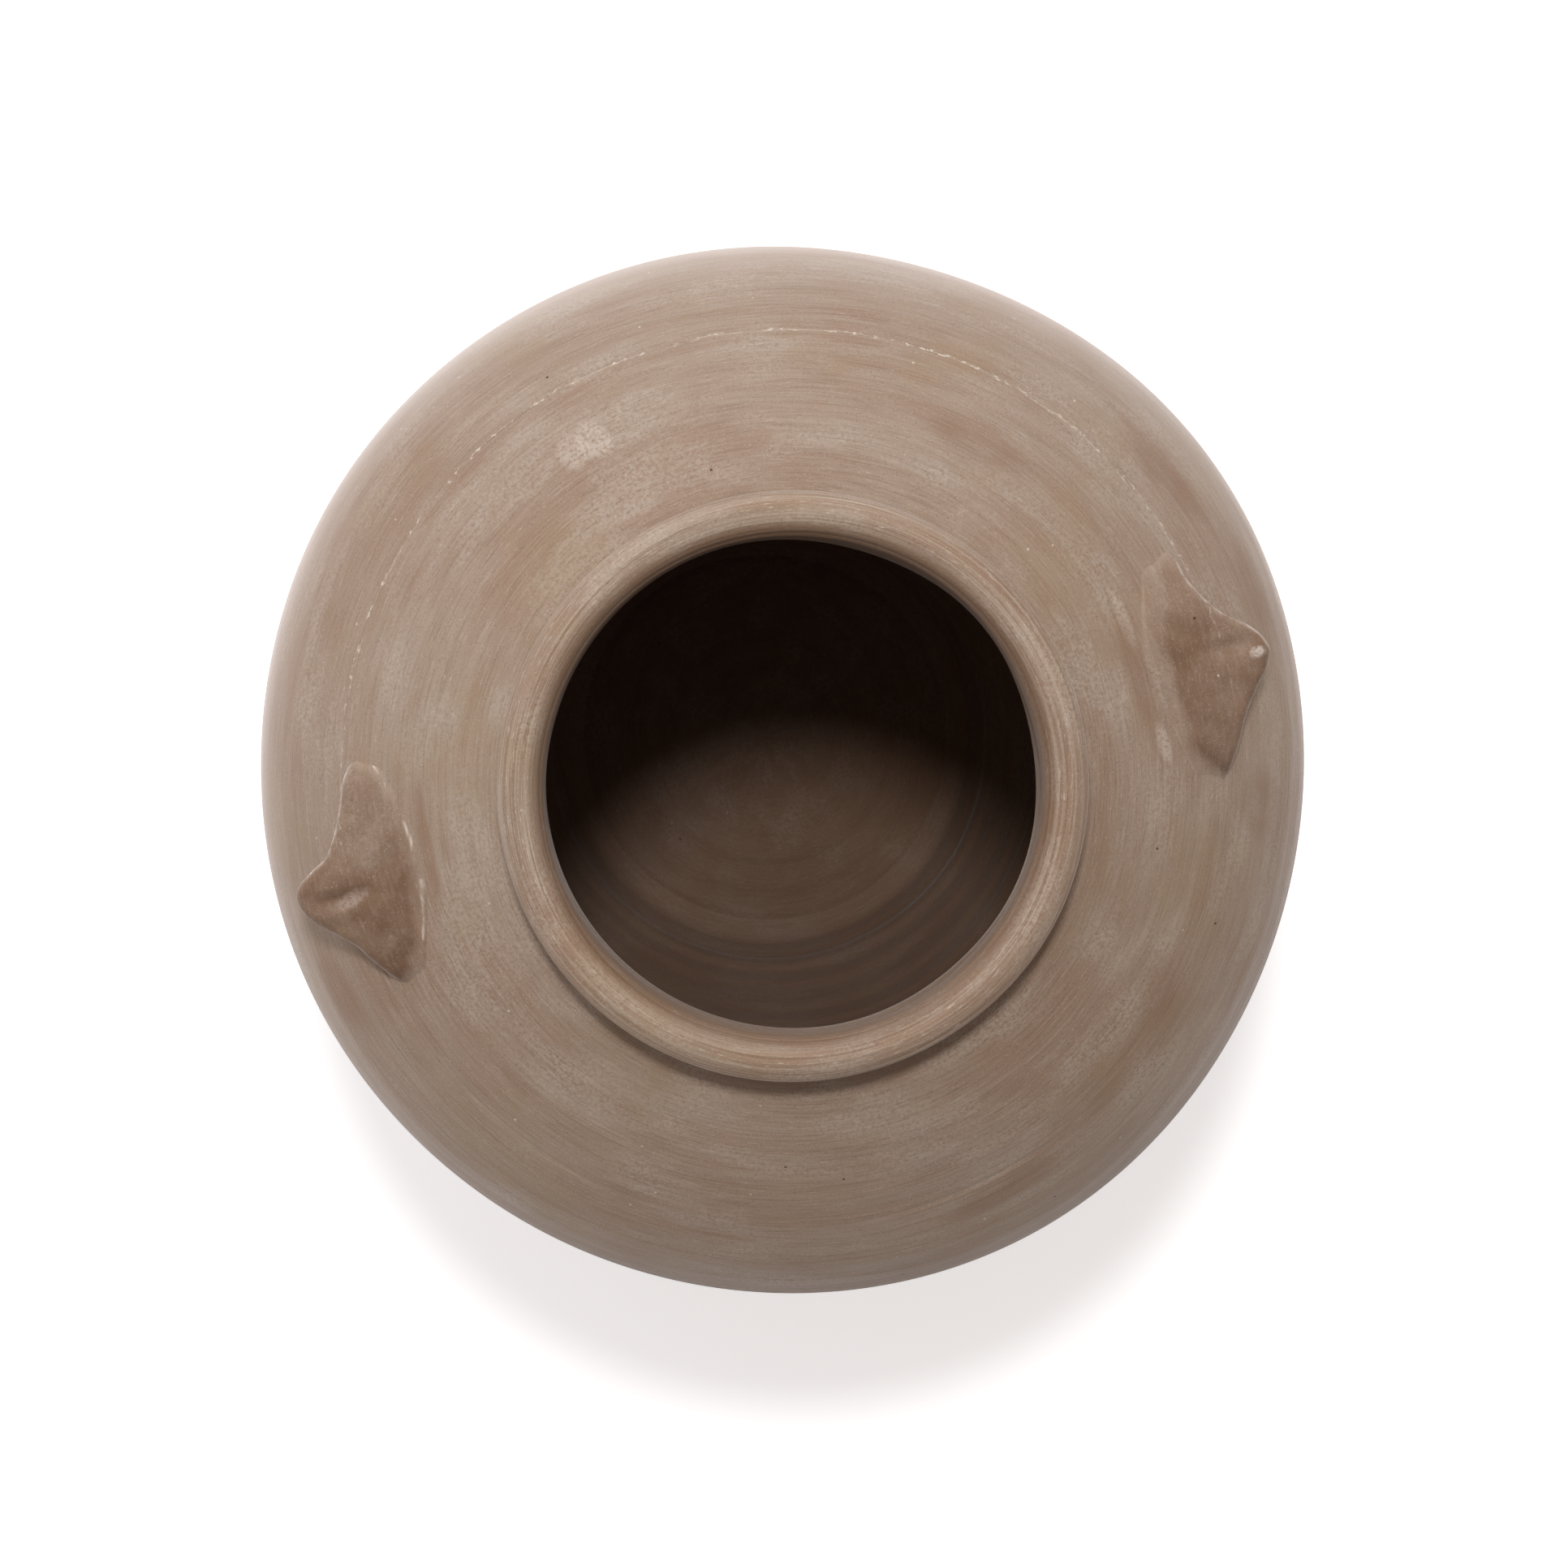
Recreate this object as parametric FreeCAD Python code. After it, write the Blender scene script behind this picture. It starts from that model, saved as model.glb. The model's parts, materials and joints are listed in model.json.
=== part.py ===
"""Two-eared amphora: a wheel-thrown storage jar of unglazed clay.

The jar is built the way a potter builds a large one.  A floor disc is thrown
first.  Three wall sections are thrown apart and luted on top of each other,
each with a ridge on its lower edge that sits in a groove in the edge below.  A
collar is set on the shoulder and a coil is rolled over the collar as the rim.
Two pinched ears are pressed into scored seats on the shoulder.

Lengths are in millimetres.  The origin is the middle of the resting face, +Z
goes up along the wheel's axis, and the ears point along +X and -X.
"""

import math
import os

import FreeCAD
import Part

Vector = FreeCAD.Vector

# ---------------------------------------------------------------- dimensions
# Body
BELLY_RADIUS = 192.0          # widest outside radius
BELLY_HEIGHT = 285.0          # height of the widest circle
SHOULDER_RISE = 115.0         # upright half-axis of the shoulder's ellipse
FOOT_RADIUS = 85.0            # outside radius where the jar meets the table
FOOT_LEAN_DEG = 32.0          # lean of the wall from upright at the foot
FOOT_PULL = 80.0              # how far the wall keeps that lean
WALL = 9.0                    # wall thickness of the three thrown sections

# Floor
FLOOR_THICKNESS = 13.0
FLOOR_CORNER = 15.0           # reach of the thrown curve between floor and wall
FOOT_CHAMFER = 3.0            # bevel cut round the foot with a trimming tool
DISC_EDGE_HEIGHT = 6.0        # outside height of the disc under the lowest joint

# Joints between the thrown sections
LOWER_JOINT_HEIGHT = 150.0    # lower wall to belly wall
UPPER_JOINT_RADIUS = 158.5    # belly wall to shoulder wall, on the shoulder
JOINT_GROOVE = 3.0            # depth of the groove that keys each joint

# Neck and rim
MOUTH_RADIUS = 84.5           # bore of the collar
COLLAR_RADIUS = 93.0          # outside of the collar
COLLAR_FOOT = 7.0             # reach of the collar's foot out over the shoulder
COLLAR_FOOT_HUG = 0.7         # share of that reach over which the foot hugs the shoulder
RIM_RADIUS = 101.0            # outside of the rolled rim
RIM_COIL_RADIUS = 8.0         # section radius of the rolled coil
RIM_DROP = 12.0               # bore's top edge below the collar's joint with the coil
RIM_FLARE_DEG = 30.0          # lean of the collar's inner flare where it meets the coil
RIM_FLARE_BEND = (0.4, 0.3)   # shares of the drop that shape the flare's two ends
COIL_SEAT_DEG = 150.0         # where the collar meets the coil, on the coil's section
COIL_FACE_DEG = 40.0          # a direction on the coil's free face
NECK_LIFT = 16.5              # middle of the coil above the shoulder at the collar

# Ears
EAR_TIP_RADIUS = 176.0        # reach of the ear's tip from the axis
EAR_ROOT_RADIUS = 128.5       # where its top dips into the shoulder
EAR_WAIST_RADIUS = 143.0      # where its outline leaves the wall
EAR_HALF_SPAN = 45.0          # half the width at the wall
EAR_TIP_HALF_SPAN = 7.0       # half the width of the blunt tip
EAR_TIP_ROUNDING = 5.0        # length over which the tip is rounded off
EAR_TIP_SECTIONS = (0.05, 0.2, 0.5, 1.0)   # places of the rounded tip's sections, as shares
EAR_ROOT_SECTIONS = 6         # sections from there to the root
EAR_ROOT_THICKNESS = 27.0     # upright size where its top dips into the shoulder
EAR_TIP_THICKNESS = 7.0       # upright size at the tip
EAR_FLARE = 1.5               # power of the outline's inward sweep
EAR_SEAT_DEPTH = 1.5          # scored recess in the wall under each ear

# ------------------------------------------------------------------- profile


def point(r, z):
    """A point of the section, drawn in the plane y = 0."""
    return Vector(r, 0, z)


def shoulder_height(r, inset=0.0):
    """Height of the shoulder's ellipse at a radius, with both half-axes reduced by inset."""
    share = r / (BELLY_RADIUS - inset)
    return BELLY_HEIGHT + (SHOULDER_RISE - inset) * math.sqrt(1.0 - share * share)


def shoulder_arc(inset, r_from, r_to):
    """The stretch of the shoulder's ellipse between two radii, as an edge."""
    centre = point(0, BELLY_HEIGHT)
    wide = BELLY_RADIUS - inset
    tall = SHOULDER_RISE - inset
    if wide >= tall:
        ellipse = Part.Ellipse(centre + point(wide, 0), centre + point(0, tall), centre)
    else:
        ellipse = Part.Ellipse(centre + point(0, tall), centre + point(wide, 0), centre)
    ends = [ellipse.parameter(point(r, shoulder_height(r, inset))) for r in (r_from, r_to)]
    turn = 2 * math.pi
    span = (ends[1] - ends[0]) % turn
    if span > math.pi:
        return Part.Edge(ellipse, ends[1], ends[1] + turn - span)
    return Part.Edge(ellipse, ends[0], ends[0] + span)


def foot_curve():
    """The outside of the body from the foot to the belly: one cubic curve.

    Its upper handle is as long as it has to be for the curve to bend at the
    belly just as the shoulder's ellipse does.
    """
    lean = math.radians(FOOT_LEAN_DEG)
    low = point(FOOT_RADIUS + FOOT_PULL * math.sin(lean), FOOT_PULL * math.cos(lean))
    belly_bend = BELLY_RADIUS / SHOULDER_RISE**2
    handle = math.sqrt((BELLY_RADIUS - low.x) / (1.5 * belly_bend))
    curve = Part.BezierCurve()
    curve.setPoles([
        point(FOOT_RADIUS, 0),
        low,
        point(BELLY_RADIUS, BELLY_HEIGHT - handle),
        point(BELLY_RADIUS, BELLY_HEIGHT),
    ])
    return curve


LOWER_CURVE = foot_curve()


def lower_parameter(z):
    """The foot curve's parameter at a height, found by halving."""
    low, high = 0.0, 1.0
    for _ in range(50):
        middle = (low + high) / 2
        if LOWER_CURVE.value(middle).z < z:
            low = middle
        else:
            high = middle
    return (low + high) / 2


def inward(curve, t):
    """Unit normal into the wall at a parameter of a curve that runs upwards."""
    along = curve.tangent(t)[0]
    return point(-along.z, along.x)


def lower_inset(t_from, t_to, inset):
    """The foot curve between two parameters, moved into the wall by inset, as an edge."""
    if inset == 0.0:
        return Part.Edge(LOWER_CURVE, t_from, t_to)
    steps = 8
    moved = []
    for i in range(steps + 1):
        t = t_from + (t_to - t_from) * i / steps
        moved.append(LOWER_CURVE.value(t) + inward(LOWER_CURVE, t) * inset)
    spline = Part.BSplineCurve()
    spline.interpolate(
        moved,
        InitialTangent=LOWER_CURVE.tangent(t_from)[0],
        FinalTangent=LOWER_CURVE.tangent(t_to)[0],
    )
    return spline.toShape()


# -------------------------------------------------------------------- joints


def lower_joint():
    """Outer, groove and inner points of the joint between lower wall and belly wall."""
    t = lower_parameter(LOWER_JOINT_HEIGHT)
    outer = LOWER_CURVE.value(t)
    across = inward(LOWER_CURVE, t)
    along = LOWER_CURVE.tangent(t)[0]
    return outer, outer + across * (WALL / 2) - along * JOINT_GROOVE, outer + across * WALL


def upper_joint():
    """Outer, groove and inner points of the joint between belly wall and shoulder wall."""
    outer = point(UPPER_JOINT_RADIUS, shoulder_height(UPPER_JOINT_RADIUS))
    r_in = UPPER_JOINT_RADIUS * (BELLY_RADIUS - WALL) / BELLY_RADIUS
    inner = point(r_in, shoulder_height(r_in, WALL))
    across = (inner - outer).normalize()
    down = point(-across.z, across.x)
    if down.z > 0:
        down = down * -1
    return outer, (outer + inner) * 0.5 + down * JOINT_GROOVE, inner


def neck_joint():
    """Outer, groove and inner points of the joint between shoulder wall and collar."""
    r_out = COLLAR_RADIUS + COLLAR_FOOT
    outer = point(r_out, shoulder_height(r_out))
    inner = point(MOUTH_RADIUS, shoulder_height(MOUTH_RADIUS, WALL))
    return outer, (outer + inner) * 0.5 - point(0, JOINT_GROOVE), inner


def coil_centre():
    """Middle of the rolled coil's section."""
    return point(RIM_RADIUS - RIM_COIL_RADIUS, shoulder_height(COLLAR_RADIUS) + NECK_LIFT)


def coil_point(angle_deg):
    """A point on the rolled coil's section, with 0 pointing outwards and 90 up."""
    turn = math.radians(angle_deg)
    return coil_centre() + point(math.cos(turn), math.sin(turn)) * RIM_COIL_RADIUS


def coil_joint():
    """Under-lip and inner points of the joint between collar and rolled coil."""
    drop = COLLAR_RADIUS - coil_centre().x
    under = point(COLLAR_RADIUS, coil_centre().z - math.sqrt(RIM_COIL_RADIUS**2 - drop**2))
    return under, coil_point(COIL_SEAT_DEG)


# ------------------------------------------------------------------- solids


def lines(*points):
    """Straight edges from point to point."""
    return [Part.makeLine(a, b) for a, b in zip(points, points[1:])]


def spun(edges):
    """The closed section made of these edges, turned once about the wheel's axis."""
    wire = Part.Wire(Part.__sortEdges__(edges))
    face = Part.Face(wire)
    solid = face.revolve(Vector(0, 0, 0), Vector(0, 0, 1), 360)
    if solid.Volume < 0:
        solid.reverse()
    return solid


def base_disc():
    """The thrown floor: flat below, bevelled at the foot, with a sloping edge for the wall."""
    edge = LOWER_CURVE.value(lower_parameter(DISC_EDGE_HEIGHT))
    bevel = LOWER_CURVE.value(lower_parameter(FOOT_CHAMFER))
    floor_edge = floor_rim()
    side = Part.Edge(LOWER_CURVE, lower_parameter(FOOT_CHAMFER), lower_parameter(DISC_EDGE_HEIGHT))
    return spun(
        lines(point(0, 0), point(FOOT_RADIUS - FOOT_CHAMFER, 0), bevel)
        + [side]
        + lines(edge, floor_edge, point(0, FLOOR_THICKNESS), point(0, 0))
    )


def floor_rim():
    """Where the flat floor ends and the wall's inner curve begins."""
    t = lower_parameter(FLOOR_THICKNESS)
    wall_foot = LOWER_CURVE.value(t) + inward(LOWER_CURVE, t) * WALL
    return point(wall_foot.x - FLOOR_CORNER / 2, FLOOR_THICKNESS)


def lower_wall():
    """The lowest thrown section, from the floor disc to the joint below the belly."""
    outer, groove, inner = lower_joint()
    t_foot = lower_parameter(DISC_EDGE_HEIGHT)
    t_top = lower_parameter(LOWER_JOINT_HEIGHT)
    t_corner = lower_parameter(FLOOR_THICKNESS + FLOOR_CORNER)
    inside = lower_inset(t_corner, t_top, WALL)
    corner_top = inside.valueAt(inside.FirstParameter)
    start = floor_rim()
    reach = (corner_top - start).Length / 2
    corner = Part.BezierCurve()
    corner.setPoles([
        start,
        start + point(reach, 0),
        corner_top - LOWER_CURVE.tangent(t_corner)[0] * (reach / 2),
        corner_top,
    ])
    return spun(
        [lower_inset(t_foot, t_top, 0.0), inside, corner.toShape()]
        + lines(outer, groove, inner)
        + lines(start, LOWER_CURVE.value(t_foot))
    )


def belly_wall():
    """The middle thrown section, with the widest circle of the jar."""
    low_outer, low_groove, low_inner = lower_joint()
    top_outer, top_groove, top_inner = upper_joint()
    t_low = lower_parameter(LOWER_JOINT_HEIGHT)
    return spun(
        [
            lower_inset(t_low, 1.0, 0.0),
            shoulder_arc(0.0, BELLY_RADIUS, UPPER_JOINT_RADIUS),
            shoulder_arc(WALL, BELLY_RADIUS - WALL, top_inner.x),
            lower_inset(t_low, 1.0, WALL),
        ]
        + lines(low_outer, low_groove, low_inner)
        + lines(top_outer, top_groove, top_inner)
    )


def shoulder_wall():
    """The top thrown section, a shallow dome with the hole for the neck."""
    low_outer, low_groove, low_inner = upper_joint()
    top_outer, top_groove, top_inner = neck_joint()
    return spun(
        [
            shoulder_arc(0.0, UPPER_JOINT_RADIUS, top_outer.x),
            shoulder_arc(WALL, low_inner.x, MOUTH_RADIUS),
        ]
        + lines(low_outer, low_groove, low_inner)
        + lines(top_outer, top_groove, top_inner)
    )


def neck_collar():
    """The collar: a straight bore, a hollowed foot outside and a flared lip under the coil."""
    outer, groove, inner = neck_joint()
    under, lip = coil_joint()
    bore_top = point(MOUTH_RADIUS, lip.z - RIM_DROP)
    hollow = Part.BezierCurve()
    slope = shoulder_height(outer.x - 1.0) - outer.z
    hollow.setPoles([
        outer,
        outer + point(-1.0, slope) * (COLLAR_FOOT * COLLAR_FOOT_HUG),
        point(COLLAR_RADIUS, (outer.z + under.z) / 2),
        under,
    ])
    lean = math.radians(RIM_FLARE_DEG)
    low_bend, high_bend = RIM_FLARE_BEND
    flare = Part.BezierCurve()
    flare.setPoles([
        bore_top,
        bore_top + point(0, RIM_DROP * low_bend),
        lip - point(math.sin(lean), math.cos(lean)) * (RIM_DROP * high_bend),
        lip,
    ])
    return spun(
        lines(outer, groove, inner, bore_top)
        + [flare.toShape(), hollow.toShape()]
        + lines(lip, under)
    )


def rim_coil():
    """The coil rolled over the collar's lip."""
    under, lip = coil_joint()
    bead = Part.Arc(under, coil_point(COIL_FACE_DEG), lip)
    return spun([bead.toShape()] + lines(lip, under))


def ear_section(back):
    """One lens-shaped section of the ear along +X, at a distance back from its tip.

    The thickness falls evenly from root to tip.  The width sweeps in from the
    wall to the tip, and both are rounded off over the last few millimetres.
    """
    level = shoulder_height(math.hypot(EAR_WAIST_RADIUS, EAR_HALF_SPAN))
    share = back / (EAR_TIP_RADIUS - EAR_ROOT_RADIUS)
    sweep = min(1.0, back / (EAR_TIP_RADIUS - EAR_WAIST_RADIUS)) ** EAR_FLARE
    rounding = math.sqrt(1.0 - (1.0 - min(1.0, back / EAR_TIP_ROUNDING))**2)
    thick = EAR_TIP_THICKNESS + (EAR_ROOT_THICKNESS - EAR_TIP_THICKNESS) * share
    half = EAR_TIP_HALF_SPAN + (EAR_HALF_SPAN - EAR_TIP_HALF_SPAN) * sweep
    centre = Vector(EAR_TIP_RADIUS - back, 0, level)
    wide = Vector(0, half * rounding, 0)
    tall = Vector(0, 0, thick / 2 * rounding)
    return Part.Wire(Part.Ellipse(centre + wide, centre + tall, centre).toShape())


def ear_blank():
    """One pinched ear along +X, run on through the wall."""
    length = EAR_TIP_RADIUS - EAR_ROOT_RADIUS
    tip = [EAR_TIP_ROUNDING * share for share in EAR_TIP_SECTIONS]
    steps = EAR_ROOT_SECTIONS
    rest = [tip[-1] + (length - tip[-1]) * i / steps for i in range(1, steps + 1)]
    return Part.makeLoft([ear_section(back) for back in tip + rest], True, False)


def seat_envelope():
    """The body's outside sunk by the seats' depth, as a solid that each ear is cut with."""
    sunk = EAR_SEAT_DEPTH
    axis_top = point(0, BELLY_HEIGHT + SHOULDER_RISE - sunk)
    edges = lines(axis_top, point(0, 0), point(BELLY_RADIUS - sunk, 0))
    edges += lines(point(BELLY_RADIUS - sunk, 0), point(BELLY_RADIUS - sunk, BELLY_HEIGHT))
    edges.append(shoulder_arc(sunk, BELLY_RADIUS - sunk, 0.0))
    return spun(edges)


def ears():
    """The right and left ears, each shaped to the seat that it is pressed into."""
    ear = ear_blank().cut(seat_envelope())
    ear = max(ear.Solids, key=lambda solid: solid.Volume)
    other = ear.copy()
    other.rotate(Vector(0, 0, 0), Vector(0, 0, 1), 180)
    return ear, other


def seated(wall, pieces):
    """A wall with the ears' seats cut into it."""
    cut = wall
    for piece in pieces:
        cut = cut.cut(piece)
    return cut


def build():
    """Every piece of the jar, by node name."""
    ear_right, ear_left = ears()
    both = (ear_right, ear_left)
    return {
        "base_disc": base_disc(),
        "lower_wall": lower_wall(),
        "belly_wall": seated(belly_wall(), both),
        "shoulder_wall": seated(shoulder_wall(), both),
        "neck_collar": neck_collar(),
        "rim_coil": rim_coil(),
        "ear_right": ear_right,
        "ear_left": ear_left,
    }


os.makedirs("parts", exist_ok=True)
for name, shape in build().items():
    shape.exportStep(os.path.join("parts", name + ".step"))
    box = shape.BoundBox
    print(
        f"{name:14s} solids {len(shape.Solids)} valid {shape.isValid()} "
        f"volume {shape.Volume / 1000:8.1f} cm3  "
        f"r {box.XMax:6.1f}  z {box.ZMin:6.1f} to {box.ZMax:6.1f}"
    )
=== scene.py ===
"""Looks of the two-eared clay jar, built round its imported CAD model.

The three wall sections, the floor disc, the collar and the rolled rim are each
turned from their own section, as on the wheel.  Then one field of throwing
ridges, rib marks and out-of-round moves all of them, so that neighbours still
meet.  The ears are pinched plates with a rounded free edge.

Sizes in the section are in millimetres and become metres when a mesh is made.
Around the axis, angles are in degrees from +X, which is the right ear's side.
"""

import json
import math

import bmesh
import bpy
import numpy as np
from mathutils import Matrix, Vector


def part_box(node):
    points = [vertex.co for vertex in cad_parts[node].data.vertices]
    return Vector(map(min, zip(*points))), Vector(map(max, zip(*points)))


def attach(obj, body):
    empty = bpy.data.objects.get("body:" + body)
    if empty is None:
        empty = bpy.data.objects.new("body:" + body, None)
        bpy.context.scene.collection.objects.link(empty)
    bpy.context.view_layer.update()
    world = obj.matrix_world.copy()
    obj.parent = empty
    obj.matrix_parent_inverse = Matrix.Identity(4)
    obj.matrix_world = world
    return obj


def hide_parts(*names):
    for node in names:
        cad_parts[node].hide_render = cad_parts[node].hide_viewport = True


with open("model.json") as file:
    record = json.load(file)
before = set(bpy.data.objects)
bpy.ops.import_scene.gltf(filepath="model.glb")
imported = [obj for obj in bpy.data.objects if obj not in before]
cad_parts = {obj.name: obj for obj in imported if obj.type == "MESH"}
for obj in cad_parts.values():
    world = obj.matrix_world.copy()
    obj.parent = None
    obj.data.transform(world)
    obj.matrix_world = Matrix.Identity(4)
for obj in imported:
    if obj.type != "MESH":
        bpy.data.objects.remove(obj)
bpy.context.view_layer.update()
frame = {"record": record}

MM = 0.001


def node_box(node):
    """Lowest and highest corner of a CAD node, in millimetres."""
    low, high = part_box(node)
    return low / MM, high / MM


# ------------------------------------------------------------ driving sizes
BELLY_R = node_box("belly_wall")[1].x
BELLY_Z = 285.0
SHOULDER_RISE = 115.0
FOOT_R = 85.0
FOOT_LEAN = math.radians(32.0)
FOOT_PULL = 80.0
WALL = 9.0
FLOOR_Z = node_box("base_disc")[1].z
FLOOR_CORNER = 15.0
FOOT_BEVEL = 3.0
DISC_EDGE_Z = 6.0
LOWER_JOINT_Z = 150.0
UPPER_JOINT_R = 158.5
GROOVE = 3.0
MOUTH_R = [m for m in frame["record"]["mounts"] if m["name"] == "mouth"][0]["dims"]["r_mm"]
COLLAR_R = 93.0
COLLAR_FOOT = 7.0
RIM_R = node_box("rim_coil")[1].x
COIL_R = 8.0
RIM_DROP = 12.0
RIM_TOP = node_box("rim_coil")[1].z

# ---------------------------------------------------------- section of the jar


def ellipse_z(r, inset=0.0):
    """Height of the shoulder's ellipse at a radius, drawn in by inset."""
    share = np.clip(r / (BELLY_R - inset), 0.0, 1.0)
    return BELLY_Z + (SHOULDER_RISE - inset) * np.sqrt(1.0 - share**2)


def bezier(poles, count):
    """Points on a Bezier curve, first and last pole included."""
    t = np.linspace(0.0, 1.0, count)[:, None]
    layers = [np.array(p, float) * np.ones_like(t) for p in poles]
    while len(layers) > 1:
        layers = [a * (1 - t) + b * t for a, b in zip(layers, layers[1:])]
    return layers[0]


def evenly(points, step):
    """The same line with points spaced evenly, about step apart, ends kept."""
    points = np.array(points, float)
    run = np.concatenate([[0.0], np.cumsum(np.linalg.norm(np.diff(points, axis=0), axis=1))])
    count = max(2, int(round(run[-1] / step)) + 1)
    at = np.linspace(0.0, run[-1], count)
    return np.stack([np.interp(at, run, points[:, 0]), np.interp(at, run, points[:, 1])], axis=1)


def into_wall(points):
    """Unit normals to the left of a line that runs up the outside: they point into the wall."""
    along = np.gradient(points, axis=0)
    along /= np.linalg.norm(along, axis=1)[:, None]
    return np.stack([-along[:, 1], along[:, 0]], axis=1)


def body_line():
    """The outside from the foot to the belly."""
    low = (FOOT_R + FOOT_PULL * math.sin(FOOT_LEAN), FOOT_PULL * math.cos(FOOT_LEAN))
    handle = math.sqrt((BELLY_R - low[0]) / (1.5 * BELLY_R / SHOULDER_RISE**2))
    return bezier([(FOOT_R, 0), low, (BELLY_R, BELLY_Z - handle), (BELLY_R, BELLY_Z)], 1200)


def dome_line(inset, r_from, r_to):
    """The shoulder's ellipse between two radii, going up."""
    turn = np.linspace(
        math.acos(min(1.0, r_from / (BELLY_R - inset))), math.acos(r_to / (BELLY_R - inset)), 900
    )
    return np.stack(
        [(BELLY_R - inset) * np.cos(turn), BELLY_Z + (SHOULDER_RISE - inset) * np.sin(turn)], axis=1
    )


OUTSIDE = body_line()
INSIDE = OUTSIDE + into_wall(OUTSIDE) * WALL


def between(line, low, high):
    """The part of an upward line between two heights, with ends exactly at them."""
    z = np.clip(line[:, 1], low, high)
    keep = (line[:, 1] > low) & (line[:, 1] < high)
    ends = [[np.interp(h, line[:, 1], line[:, 0]), h] for h in (low, high)]
    return np.concatenate([[ends[0]], np.stack([line[keep, 0], z[keep]], axis=1), [ends[1]]])


def at_height(line, z):
    """The point of an upward line at a height."""
    return np.array([np.interp(z, line[:, 1], line[:, 0]), z])


def groove_point(outer, inner, depth):
    """Bottom of a joint's groove: midway across the wall and depth below."""
    across = (inner - outer) / np.linalg.norm(inner - outer)
    down = np.array([-across[1], across[0]])
    down = down if down[1] < 0 else -down
    return (outer + inner) / 2 + down * depth


# ------------------------------------------------ one skin from foot to floor
# The skin starts under the foot's middle, runs up the outside, over the rolled
# rim, down the inside and ends at the middle of the floor.


def skin_parts():
    """The skin's stretches in order, each with the name of the mark that it ends at."""
    coil = np.array([RIM_R - COIL_R, RIM_TOP - COIL_R])
    drop = COLLAR_R - coil[0]
    under = np.array([COLLAR_R, coil[1] - math.sqrt(COIL_R**2 - drop**2)])
    start = math.atan2(under[1] - coil[1], under[0] - coil[0])
    turn = np.linspace(start, math.radians(150), 400)
    bead = coil + COIL_R * np.stack([np.cos(turn), np.sin(turn)], axis=1)
    lip = bead[-1]
    neck_r = COLLAR_R + COLLAR_FOOT
    dome = dome_line(0.0, BELLY_R, neck_r)
    joint_z = float(ellipse_z(UPPER_JOINT_R))
    neck = dome[-1]
    slope = float(ellipse_z(neck_r - 1.0)) - neck[1]
    hollow = bezier(
        [
            neck,
            neck + np.array([-1.0, slope]) * (COLLAR_FOOT * 0.7),
            (COLLAR_R, (neck[1] + under[1]) / 2),
            under,
        ],
        80,
    )
    bore_top = np.array([MOUTH_R, lip[1] - RIM_DROP])
    lean = np.array([math.sin(math.radians(30)), math.cos(math.radians(30))])
    flare = bezier([bore_top, bore_top + (0, RIM_DROP * 0.4), lip - lean * (RIM_DROP * 0.3), lip], 80)
    inner_joint_r = UPPER_JOINT_R * (BELLY_R - WALL) / BELLY_R
    inner_dome = dome_line(WALL, BELLY_R - WALL, MOUTH_R)
    neck_in = inner_dome[-1]
    corner_from = FLOOR_Z + FLOOR_CORNER
    index = int(np.argmin(np.abs(OUTSIDE[:, 1] - corner_from)))
    corner_top = INSIDE[index]
    along = (OUTSIDE[index + 1] - OUTSIDE[index - 1]) / np.linalg.norm(
        OUTSIDE[index + 1] - OUTSIDE[index - 1]
    )
    floor_index = int(np.argmin(np.abs(OUTSIDE[:, 1] - FLOOR_Z)))
    floor_rim = np.array([INSIDE[floor_index][0] - FLOOR_CORNER / 2, FLOOR_Z])
    reach = np.linalg.norm(corner_top - floor_rim) / 2
    corner = bezier(
        [floor_rim, floor_rim + (reach, 0), corner_top - along * (reach / 2), corner_top], 80
    )
    upper_in = np.array([inner_joint_r, float(ellipse_z(inner_joint_r, WALL))])
    lower_out = at_height(OUTSIDE, LOWER_JOINT_Z)
    joint_index = int(np.argmin(np.abs(OUTSIDE[:, 1] - LOWER_JOINT_Z)))
    lower_in = INSIDE[joint_index]
    bevel = at_height(OUTSIDE, FOOT_BEVEL)
    return [
        ("foot", np.array([(0.0, 0.0), (FOOT_R - FOOT_BEVEL, 0.0)])),
        ("bevel", np.array([(FOOT_R - FOOT_BEVEL, 0.0), bevel])),
        ("disc_edge", between(OUTSIDE, FOOT_BEVEL, DISC_EDGE_Z)),
        ("lower_out", between(OUTSIDE, DISC_EDGE_Z, LOWER_JOINT_Z)),
        ("belly", between(OUTSIDE, LOWER_JOINT_Z, BELLY_Z)),
        ("upper_out", between(dome, BELLY_Z, joint_z)),
        ("neck_out", between(dome, joint_z, neck[1])),
        ("under_coil", hollow),
        ("lip", bead),
        ("bore_top", flare[::-1]),
        ("neck_in", np.array([bore_top, neck_in])),
        ("upper_in", between(inner_dome, upper_in[1], neck_in[1])[::-1]),
        ("belly_in", between(inner_dome, BELLY_Z, upper_in[1])[::-1]),
        ("lower_in", between(INSIDE, lower_in[1], BELLY_Z)[::-1]),
        ("corner", between(INSIDE, corner_top[1], lower_in[1])[::-1]),
        ("floor_rim", corner[::-1]),
        ("floor", np.array([floor_rim, (0.0, FLOOR_Z)])),
    ]


def lay_skin():
    """The whole skin spaced evenly: its points, its run from the start, and the run at each mark."""
    points, marks, total = [], {"start": 0.0}, 0.0
    for mark, line in skin_parts():
        line = evenly(line, 0.25)
        points.append(line[:-1])
        total += float(np.sum(np.linalg.norm(np.diff(line, axis=0), axis=1)))
        marks[mark] = total
    points.append(line[-1:])
    points = np.concatenate(points)
    run = np.concatenate([[0.0], np.cumsum(np.linalg.norm(np.diff(points, axis=0), axis=1))])
    return points, run, marks


SKIN, SKIN_RUN, MARK = lay_skin()
SKIN_OUT = -into_wall(SKIN)


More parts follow.
